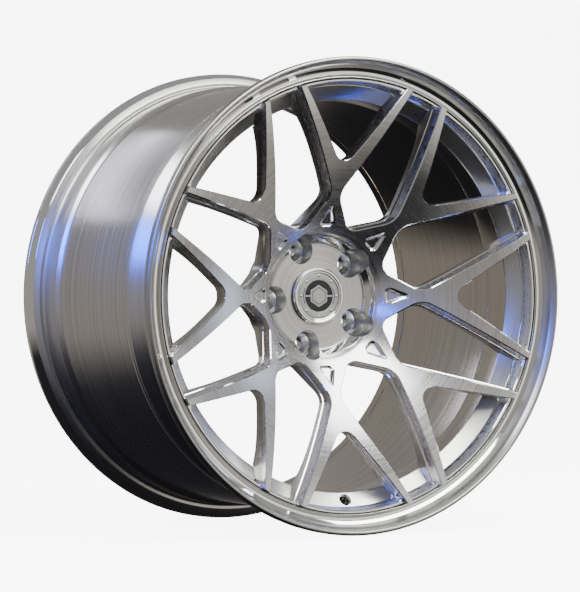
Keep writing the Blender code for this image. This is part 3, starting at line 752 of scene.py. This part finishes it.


# rim profiles are (radius, height, rounding, finish), and the finish is a place in rimMaterials:
# 0 polished, 1 satin, 2 turned, 3 frosted, 4 blasted, 5 bored with painted shade
rim = {
    "steps": 288, "sharpAngle": 32,
    "outer": [
        (240.3, 67.7, 0.45, 5), (240.3, 71.2, 3.0, 5), (224.5, 89.6, 5.0, 5), (224.5, 121.0, 2.2, 1),
        (240.3, 131.4, 0.2, 1), (246.9, 131.4, 0.1, 1), (246.9, 140.0, 0.1, 1), (248.3, 140.0, 0.1, 1),
        (248.3, 147.6, 0.3, 0), (249.3, 147.3, 0.5, 0), (252.0, 144.6, 1.6, 0), (255.4, 144.8, 4.0, 0),
        (259.5, 147.4, 0.3, 4), (263.4, 157.8, 8.0, 4), (267.4, 162.9, 2.0, 4), (271.5, 162.9, 2.9, 4),
        (271.5, 153.2, 4.0, 4), (266.0, 143.6, 3.0, 4), (259.5, 139.7, 1.4, 1), (255.8, 139.7, 1.2, 1),
        (254.0, 137.0, 1.0, 1), (252.4, 119.0, 1.5, 1), (253.6, 116.0, 1.4, 1), (252.0, 112.6, 2.0, 2),
        (234.0, 108.6, 4.5, 2), (234.0, 91.1, 6.0, 2), (249.8, 71.2, 3.5, 2), (249.8, 67.7, 0.3, 2),
    ],
    "inner": [
        (240.3, 60.4, 0.45, 2), (249.8, 60.4, 0.3, 2), (249.8, -104.6, 2.0, 2), (254.0, -108.8, 2.4, 1),
        (254.0, -113.4, 2.0, 1), (251.2, -117.0, 1.8, 1), (252.0, -120.6, 2.0, 1), (254.0, -137.0, 1.2, 1),
        (255.8, -139.7, 1.2, 1), (259.5, -139.7, 1.6, 1), (266.4, -144.0, 3.0, 0), (271.5, -153.4, 4.0, 0),
        (271.5, -162.9, 4.3, 0), (263.6, -162.9, 3.4, 0), (262.2, -152.4, 2.6, 0), (255.0, -152.6, 3.0, 1),
        (246.4, -150.4, 3.0, 1), (240.3, -145.5, 3.0, 5), (240.3, -130.0, 0.3, 5), (240.9, -129.4, 0.2, 5),
        (240.9, -128.6, 0.2, 5), (240.3, -128.0, 0.3, 5),
    ],
    "seam": [
        (240.3, 67.4, 0.45, 5), (240.1, 64.1, 0.2, 5), (240.3, 60.7, 0.45, 2),
        (249.8, 60.7, 0.3, 2), (250.0, 64.1, 0.2, 2), (249.8, 67.4, 0.3, 2),
    ],
    # the cone that the valve hole is drilled square to, as in the outer half's profile: (radius, height)
    "cone": ((224.5, 121.0), (240.3, 131.4)),
    "valveRadius": 232.7, "valveHole": 5.65, "valveChamfer": 7.6, "drillClear": 4.0, "drillReach": 34.0,
}
rimMaterials = [polished, satin, turned, frosted, blasted, boredWithPaintedShade]

outerRimHalf = asObject("outerRimHalf", turnedWork(softened(rim["outer"]), rim["steps"]), rimMaterials)


def valveCutter():
    # square to the cone behind the centre's ring, straight below the axis
    (lowRadius, lowHeight), (highRadius, highHeight) = rim["cone"]
    lean = math.atan2(highHeight - lowHeight, highRadius - lowRadius)
    middle = lowHeight + (rim["valveRadius"] - lowRadius) * math.tan(lean)
    hole, chamfer = rim["valveHole"], rim["valveChamfer"]
    clear, reach = rim["drillClear"], rim["drillReach"]
    profile = [(0.0, clear), (chamfer + clear, clear), (hole, hole - chamfer), (hole, -reach), (0.0, -reach)]
    work = turnedWork(profile, 48, onAxis=True)
    # the drill leans in the plane through the axis and the hole
    turn = Matrix.Rotation(-lean, 4, "X")
    work.transform(Matrix.Translation(placed(0.0, -rim["valveRadius"], middle)) @ turn)
    return asObject("valveCutter", work, rimMaterials)


cutWith(outerRimHalf, "DIFFERENCE", valveCutter())
sharpen(outerRimHalf, rim["sharpAngle"])
standsFor(outerRimHalf, "wheel", "lip", "outer_rim_half")

innerWork = turnedWork(softened(rim["inner"]), rim["steps"])
innerRimHalf = asObject("innerRimHalf", innerWork, rimMaterials, rim["sharpAngle"])
standsFor(innerRimHalf, "wheel", "barrel", "inner_rim_half")

seamWork = turnedWork(softened(rim["seam"], 3), rim["steps"])
rimSeamWeld = asObject("rimSeamWeld", seamWork, rimMaterials, rim["sharpAngle"])
standsFor(rimSeamWeld, "wheel", "weld", "rim_seam_weld")
print("rim halves made")


def roundTheAxis():
    # copies a small piece round the axis: count, circle radius, first angle and height are inputs
    tree = bpy.data.node_groups.new("roundTheAxis", "GeometryNodeTree")
    tree.interface.new_socket(name="Geometry", in_out="INPUT", socket_type="NodeSocketGeometry")
    for label, kind in (
        ("Piece", "Object"), ("Count", "Int"), ("Circle", "Float"),
        ("First", "Float"), ("Height", "Float"), ("Finish", "Material"),
    ):
        tree.interface.new_socket(name=label, in_out="INPUT", socket_type="NodeSocket" + kind)
    tree.interface.new_socket(name="Geometry", in_out="OUTPUT", socket_type="NodeSocketGeometry")
    given = addNode(tree, "NodeGroupInput").outputs
    points = addNode(
        tree, "GeometryNodeMeshCircle", {"Vertices": given["Count"], "Radius": given["Circle"]}
    ).outputs[0]
    first = addNode(tree, "ShaderNodeCombineXYZ", {2: given["First"]}).outputs[0]
    started = addNode(tree, "GeometryNodeTransform", {"Geometry": points, "Rotation": first}).outputs[0]
    index = addNode(tree, "GeometryNodeInputIndex").outputs[0]
    share = addNode(tree, "ShaderNodeMath", {0: index, 1: given["Count"]}, operation="DIVIDE").outputs[0]
    angle = addNode(
        tree, "ShaderNodeMath", {0: share, 1: 2 * math.pi, 2: given["First"]}, operation="MULTIPLY_ADD"
    ).outputs[0]
    facing = addNode(tree, "ShaderNodeCombineXYZ", {2: angle}).outputs[0]
    piece = addNode(tree, "GeometryNodeObjectInfo", {"Object": given["Piece"]}).outputs["Geometry"]
    copies = addNode(
        tree, "GeometryNodeInstanceOnPoints", {"Points": started, "Instance": piece, "Rotation": facing}
    ).outputs[0]
    lift = addNode(tree, "ShaderNodeCombineXYZ", {2: given["Height"]}).outputs[0]
    raised = addNode(tree, "GeometryNodeTransform", {"Geometry": copies, "Translation": lift}).outputs[0]
    upright = (math.pi / 2, 0.0, 0.0)
    stood = addNode(tree, "GeometryNodeTransform", {"Geometry": raised, "Rotation": upright}).outputs[0]
    real = addNode(tree, "GeometryNodeRealizeInstances", {"Geometry": stood}).outputs[0]
    dressed = addNode(tree, "GeometryNodeSetMaterial", {"Geometry": real, "Material": given["Finish"]})
    addNode(tree, "NodeGroupOutput", {"Geometry": dressed.outputs[0]})
    return tree


roundTree = roundTheAxis()


def copiesRound(name, piece, finish, count, circle, first, height):
    holder = bpy.data.objects.new(name + "Holder", bpy.data.meshes.new(name + "Holder"))
    bpy.context.scene.collection.objects.link(holder)
    modifier = holder.modifiers.new("roundTheAxis", "NODES")
    modifier.node_group = roundTree
    values = {
        "Piece": piece, "Count": count, "Circle": circle * mm,
        "First": math.radians(first), "Height": height * mm, "Finish": finish,
    }
    for socket in roundTree.interface.items_tree:
        if socket.name in values:
            modifier[socket.identifier] = values[socket.name]
    bpy.context.view_layer.update()
    graph = bpy.context.evaluated_depsgraph_get()
    mesh = bpy.data.meshes.new_from_object(holder.evaluated_get(graph))
    mesh.name = name
    made = bpy.data.objects.new(name, mesh)
    bpy.context.scene.collection.objects.link(made)
    bpy.data.objects.remove(holder)  # and the modifier with it
    bpy.data.objects.remove(piece)
    return made


def lyingTurned(name, profile, steps, onAxis=False):
    # a small turned piece about its own upright axis, ready to be copied
    work = turnedWork(profile, steps, onAxis)
    work.transform(Matrix.Rotation(-math.pi / 2, 4, "X"))
    return asObject(name, work, [steel])


# steel sleeves with 60 degree seats: (radius, height above the hub's back face, rounding)
lugSeat = {
    "profile": [(12.6, 19.8, 0.4), (14.5, 19.8, 0.5), (14.5, 16.8, 0.3), (11.7, 16.8, 0.2), (11.7, 0.3, 0.4),
                (7.5, 0.3, 0.4), (7.5, 11.2, 0.5)],
    "base": 25.0,
}
lugSeats = copiesRound(
    "lugSeats", lyingTurned("lugSeatPiece", softened(lugSeat["profile"], 3), 72), steel,
    centre["lugs"], centre["lugCircle"], centre["firstLug"], lugSeat["base"],
)
sharpen(lugSeats, 32)
standsFor(lugSeats, "wheel", "lug_seats", *[f"lug_insert_{i + 1}" for i in range(centre["lugs"])])

# the weld bead in the groove between ring and lip: overlapping ripples, about 2.4 mm apart
bead = {"count": 640, "circle": 247.35, "height": 142.6, "wide": 0.62, "long": 1.9, "high": 2.2}


def beadPiece():
    work = bmesh.new()
    bmesh.ops.create_uvsphere(work, u_segments=8, v_segments=5, radius=mm)
    work.transform(Matrix.Diagonal((bead["wide"], bead["long"], bead["high"], 1.0)))
    return asObject("beadPiece", work, [weldMetal], 80)


centreRingWeld = copiesRound(
    "centreRingWeld", beadPiece(), weldMetal, bead["count"], bead["circle"], 0.0, bead["height"]
)
sharpen(centreRingWeld, 80)
standsFor(centreRingWeld, "wheel", "weld", "centre_ring_weld")
print("lug seats and welds made")


# profiles are (radius, height, rounding); the hexagon's sizes are out to its corners
cap = {
    "steps": 144,
    "body": [
        (33.2, 64.9, 0.3), (33.2, 63.5, 0.3), (29.6, 63.5, 0.2), (29.6, 52.6, 0.2), (28.3, 52.6, 0.1),
        (28.3, 50.0, 0.1), (29.6, 50.0, 0.3), (28.8, 47.0, 0.5), (27.0, 47.0, 0.5), (27.0, 61.3, 1.0),
    ],
    "bezel": [
        (26.6, 65.2, 0.1), (26.6, 67.7, 0.25), (27.4, 68.1, 0.3), (28.5, 67.9, 0.4), (29.8, 68.6, 0.7),
        (32.0, 68.5, 1.0), (33.5, 67.0, 0.7), (33.7, 65.2, 0.2),
    ],
    "plate": [(18.5, 66.0, 0.1), (18.5, 67.4, 0.2), (26.3, 67.4, 0.3), (26.3, 65.2, 0.1)],
    "floor": 66.3, "top": 67.4,
    "hexagon": 12.8, "hexagonChamfer": 0.12, "groove": (10.2, 9.2), "grooveDepth": 0.5,
    "tick": 0.85, "reach": 18.2,
    "inlayTop": 67.0, "inlayChamfer": 0.1, "inlayGap": 0.35, "tickGap": 0.3,
    "markRadius": 20.6, "markHalf": 0.45, "markAngle": 27.0, "markDepth": 0.35,
    "screws": 8, "screwCircle": 23.6, "screwGap": 0.02,
    "screwHead": [(0.0, 0.95), (0.9, 0.85), (1.5, 0.35), (1.6, 0.0), (0.0, 0.0)],
    "ringRadius": 29.15, "ringWire": 0.5, "ringHeight": 51.3, "ringEnds": (98, 442),
}


def axisProfile(corners):
    # closes a rounded profile straight in to the axis at both ends
    full = [(0.0, corners[0][1], 0.0), *corners, (0.0, corners[-1][1], 0.0)]
    return [(max(r, 0.0), h) for r, h in roundedPath(full, 3, closed=False)]


capBody = asObject("capBody", turnedWork(axisProfile(cap["body"]), cap["steps"], onAxis=True), [nylon])
standsFor(capBody, "cap", "cap_moulding", "cap_body")

capBezel = asObject("capBezel", turnedWork(softened(cap["bezel"], 3), cap["steps"]), [polished])
standsFor(capBezel, "cap", "cap_bezel", "cap_bezel")


def prismWork(outline, low, high, chamfer=0.0, grooves=()):
    # an upright prism; grooves are (outer outline, inner outline, depth) cut in its top
    work = bmesh.new()

    def loopAt(line, height):
        return [work.verts.new(placed(x, y, height)) for x, y in line]

    bottom = loopAt(outline, low)
    if chamfer:
        shoulder = loopAt(outline, high - chamfer)
        top = loopAt([p[:2] for p in insetCorners([(x, y, 0) for x, y in outline], chamfer)], high)
        wallBetween(work, top, shoulder, 0)
        wallBetween(work, shoulder, bottom, 0)
    else:
        top = loopAt(outline, high)
        wallBetween(work, top, bottom, 0)
    holes = [top]
    for outer, inner, depth in grooves:
        outerTop, outerFloor = loopAt(outer, high), loopAt(outer, high - depth)
        innerFloor, innerTop = loopAt(inner, high - depth), loopAt(inner, high)
        wallBetween(work, outerFloor, outerTop, 1)
        wallBetween(work, innerTop, innerFloor, 1)
        fillLoops(work, [outerFloor, innerFloor], [], lambda r: high - depth, 1)
        fillLoops(work, [innerTop], [], lambda r: high, 0)
        holes.append(outerTop)
    fillLoops(work, holes, [], lambda r: high, 0)
    fillLoops(work, [bottom], [], lambda r: low, 0, faceUp=False)
    bmesh.ops.recalc_face_normals(work, faces=work.faces)
    return work


def hexagon(radius):
    return [onCircle(radius, 60 * i + 30) for i in range(6)]


faceMaterials = [anodised, lacquer]
plateWork = turnedWork(axisProfile(cap["plate"]), cap["steps"], onAxis=True)
capFacePlate = asObject("capFacePlate", plateWork, faceMaterials)
for side in (0, 180):
    angles = spaced(side - cap["markAngle"], side + cap["markAngle"], 25)
    outerArc = [onCircle(cap["markRadius"] + cap["markHalf"], a) for a in angles]
    innerArc = [onCircle(cap["markRadius"] - cap["markHalf"], a) for a in angles]
    markWork = prismWork(outerArc + innerArc[::-1], cap["top"] - cap["markDepth"], cap["top"] + 2.0)
    mark = asObject("capMark", markWork, faceMaterials)
    for polygon in mark.data.polygons:
        polygon.material_index = 1
    cutWith(capFacePlate, "DIFFERENCE", mark)
sharpen(capFacePlate, 30)
standsFor(capFacePlate, "cap", "cap_face", "cap_face_plate")

flat = cap["hexagon"] * math.cos(math.pi / 6)
tick = [(flat, -cap["tick"]), (cap["reach"], -cap["tick"]), (cap["reach"], cap["tick"]), (flat, cap["tick"])]
corners = hexagon(cap["hexagon"])
outline = tick + corners[:3] + [(-x, -y) for x, y in tick] + corners[3:]
groove = (*[hexagon(radius) for radius in cap["groove"]], cap["grooveDepth"])
emblemWork = prismWork(outline, cap["floor"], cap["top"], cap["hexagonChamfer"], [groove])
capEmblemHexagon = asObject("capEmblemHexagon", emblemWork, faceMaterials, 20)
standsFor(capEmblemHexagon, "cap", "cap_face", "cap_emblem_hexagon")

edge = cap["hexagon"] + cap["inlayGap"]
tickEdge = cap["tick"] + cap["tickGap"]
start = math.degrees(math.asin(tickEdge / cap["reach"]))
flat = edge * math.cos(math.pi / 6)
upper = [onCircle(cap["reach"], a) for a in spaced(start, 180 - start, 49)]
upper += [(-flat, tickEdge)] + hexagon(edge)[2::-1] + [(flat, tickEdge)]
for name, node, sign in (("capInlayUpper", "cap_inlay_upper", 1), ("capInlayLower", "cap_inlay_lower", -1)):
    half = [(sign * x, sign * y) for x, y in upper]
    work = prismWork(half, cap["floor"], cap["inlayTop"], cap["inlayChamfer"])
    standsFor(asObject(name, work, [lacquer], 20), "cap", "cap_inlay", node)

capScrews = copiesRound(
    "capScrews", lyingTurned("capScrewPiece", cap["screwHead"], 24, onAxis=True), steel,
    cap["screws"], cap["screwCircle"], 0.0, cap["top"] + cap["screwGap"],
)
sharpen(capScrews, 40)
standsFor(capScrews, "cap", "screws", *[f"cap_screw_{i + 1}" for i in range(cap["screws"])])


def snapRing():
    # an open ring of round wire in the skirt's groove
    work = bmesh.new()
    sections = []
    for angle in spaced(*cap["ringEnds"], 97):
        ring = []
        for j in range(12):
            out, up = onCircle(cap["ringWire"], 30 * j)
            x, y = onCircle(cap["ringRadius"] + out, angle)
            ring.append(work.verts.new(placed(x, y, cap["ringHeight"] + up)))
        sections.append(ring)
    for low, high in zip(sections, sections[1:]):
        wallBetween(work, high, low, 0)
    work.faces.new(sections[0])
    work.faces.new(sections[-1][::-1])
    bmesh.ops.recalc_face_normals(work, faces=work.faces)
    return asObject("capSnapRing", work, [steel], 50)


standsFor(snapRing(), "cap", "spring", "cap_snap_ring")
print("centre cap made")


# places and sizes in metres
studio = {
    "cameraAngle": 29.9, "cameraDistance": 3.4618, "lens": 178.46,
    # the sweep: its floor from front to back, the curve up, the top of its wall and half its width
    "floorHeight": -0.2718, "floorRun": (-9.0, 3.0), "paperCurve": 1.6, "paperTop": 6.0, "paperHalf": 9.0,
    "paper": "#f4f4f3", "paperGlow": 8.0,
    # name: (place, size across, size up, watts, colour, turn about its own line in degrees)
    "lights": {
        "topFrontBox": ((0.60, -1.60, 1.95), 2.4, 1.2, 105.0, "#ffffff", 0.0),
        "barrelStrip": ((-0.40, 0.86, 0.60), 0.62, 0.05, 0.8, "#e9ebff", -37.0),
        "leftTopBox": ((-1.75, -0.50, 1.85), 1.3, 1.0, 42.0, "#f6f6ff", 0.0),
        "rightBox": ((2.55, -0.30, 0.45), 1.6, 1.3, 10.0, "#d6e2ff", 0.0),
        "frontPanel": ((1.35, -2.35, 0.0), 1.3, 1.5, 5.6, "#fffdf8", 0.0),
        "blueLeft": ((-2.45, -0.68, 0.98), 0.5, 0.7, 30.0, "#0057ff", 0.0),
        "blueBack": ((-2.30, 1.10, 0.86), 0.25, 0.7, 20.0, "#0057ff", 0.0),
        "blueFront": ((-1.52, -2.02, 0.63), 0.3, 0.3, 8.0, "#0057ff", 0.0),
    },
    # the air's colour from below (0) to above (1), raised by airSideways towards the front right
    "air": [(0.0, "#1d1d1f"), (0.31, "#29292d"), (0.40, "#a5a19b"), (0.56, "#a5a19b"), (1.0, "#a2a2a4")],
    "airSideways": 0.7,
}


def makePaper():
    # a pale paper sweep: floor, curve and wall in one sheet
    floor, (front, back), curve, half = (
        studio[key] for key in ("floorHeight", "floorRun", "paperCurve", "paperHalf")
    )
    profile = [(front, floor), (back, floor)]
    for i in range(1, 17):
        turn = math.pi / 2 * i / 16
        profile.append((back + curve * math.sin(turn), floor + curve * (1 - math.cos(turn))))
    profile.append((back + curve, studio["paperTop"]))
    work = bmesh.new()
    rows = [[work.verts.new((x, y, z)) for x in (-half, half)] for y, z in profile]
    for near, far in zip(rows, rows[1:]):
        work.faces.new([near[0], near[1], far[1], far[0]])
    material = bpy.data.materials.new("palePaper")
    material.use_nodes = True
    tree = material.node_tree
    shader = tree.nodes["Principled BSDF"]
    place = addNode(tree, "ShaderNodeTexCoord").outputs["Object"]
    fibre = addNode(tree, "ShaderNodeTexNoise", {"Vector": place, "Scale": 300.0, "Detail": 3.0})
    bump = addNode(
        tree, "ShaderNodeBump", {"Height": fibre.outputs["Fac"], "Strength": 0.05, "Distance": 0.0005}
    )
    tree.links.new(bump.outputs[0], shader.inputs["Normal"])
    shader.inputs["Base Color"].default_value = linearColour(studio["paper"])
    shader.inputs["Roughness"].default_value = 0.9
    shader.inputs["Emission Color"].default_value = linearColour(studio["paper"])
    shader.inputs["Emission Strength"].default_value = studio["paperGlow"]
    made = asObject("paperSweep", work, [material])
    made.visible_glossy = False  # so that the paper doesn't light what faces down
    made.visible_diffuse = False


makePaper()
for name, (place, across, up, watts, tint, turn) in studio["lights"].items():
    lamp = bpy.data.lights.new(name, "AREA")
    lamp.shape = "RECTANGLE"
    lamp.size, lamp.size_y = across, up
    lamp.energy = watts
    lamp.color = linearColour(tint)[:3]
    made = bpy.data.objects.new(name, lamp)
    made.location = place
    facing = (-Vector(place)).to_track_quat("-Z", "Y")
    made.rotation_euler = (facing @ Quaternion((0.0, 0.0, 1.0), math.radians(turn))).to_euler()
    made.visible_camera = False
    bpy.context.scene.collection.objects.link(made)

world = bpy.data.worlds.new("studioAir")
bpy.context.scene.world = world
world.use_nodes = True
tree = world.node_tree
tree.nodes.clear()
# the room above is pale, the room below darker, as in a studio with a dark surround
direction = addNode(tree, "ShaderNodeTexCoord").outputs["Generated"]
parts = addNode(tree, "ShaderNodeSeparateXYZ", {0: direction}).outputs
right = addNode(tree, "ShaderNodeMath", {0: parts[0], 1: 0.0}, operation="MAXIMUM").outputs[0]
front = addNode(
    tree, "ShaderNodeMath", {0: 0.3, 1: parts[1]}, operation="SUBTRACT", use_clamp=True
).outputs[0]
corner = addNode(tree, "ShaderNodeMath", {0: right, 1: front}, operation="MULTIPLY").outputs[0]
up = addNode(
    tree, "ShaderNodeMath", {0: corner, 1: studio["airSideways"], 2: parts[2]}, operation="MULTIPLY_ADD"
).outputs[0]
level = addNode(tree, "ShaderNodeMapRange", {"Value": up, "From Min": -1.0, "From Max": 1.0}).outputs[0]
ramp = addNode(tree, "ShaderNodeValToRGB", {"Fac": level})
for stop in ramp.color_ramp.elements[1:]:
    ramp.color_ramp.elements.remove(stop)
for i, (at, tint) in enumerate(studio["air"]):
    stop = ramp.color_ramp.elements[0] if i == 0 else ramp.color_ramp.elements.new(at)
    stop.position = at
    stop.color = linearColour(tint)
air = addNode(tree, "ShaderNodeBackground", {"Color": ramp.outputs[0], "Strength": 1.0})
# past the sweep's edges the room looks like more of the same paper
paper = addNode(
    tree, "ShaderNodeBackground", {"Color": linearColour(studio["paper"]), "Strength": studio["paperGlow"]}
)
seen = addNode(tree, "ShaderNodeLightPath").outputs["Is Camera Ray"]
either = addNode(tree, "ShaderNodeMixShader", {0: seen, 1: air.outputs[0], 2: paper.outputs[0]}).outputs[0]
tree.links.new(either, addNode(tree, "ShaderNodeOutputWorld").inputs[0])

camera = bpy.data.objects.new("camera", bpy.data.cameras.new("camera"))
camera.data.lens = studio["lens"]
camera.data.sensor_width = 36.0
camera.data.clip_end = 40.0
turn = math.radians(studio["cameraAngle"])
camera.location = Vector((-math.sin(turn), -math.cos(turn), 0.0)) * studio["cameraDistance"]
camera.rotation_euler = (-camera.location).to_track_quat("-Z", "Y").to_euler()
bpy.context.scene.collection.objects.link(camera)
bpy.context.scene.camera = camera
print("studio set")
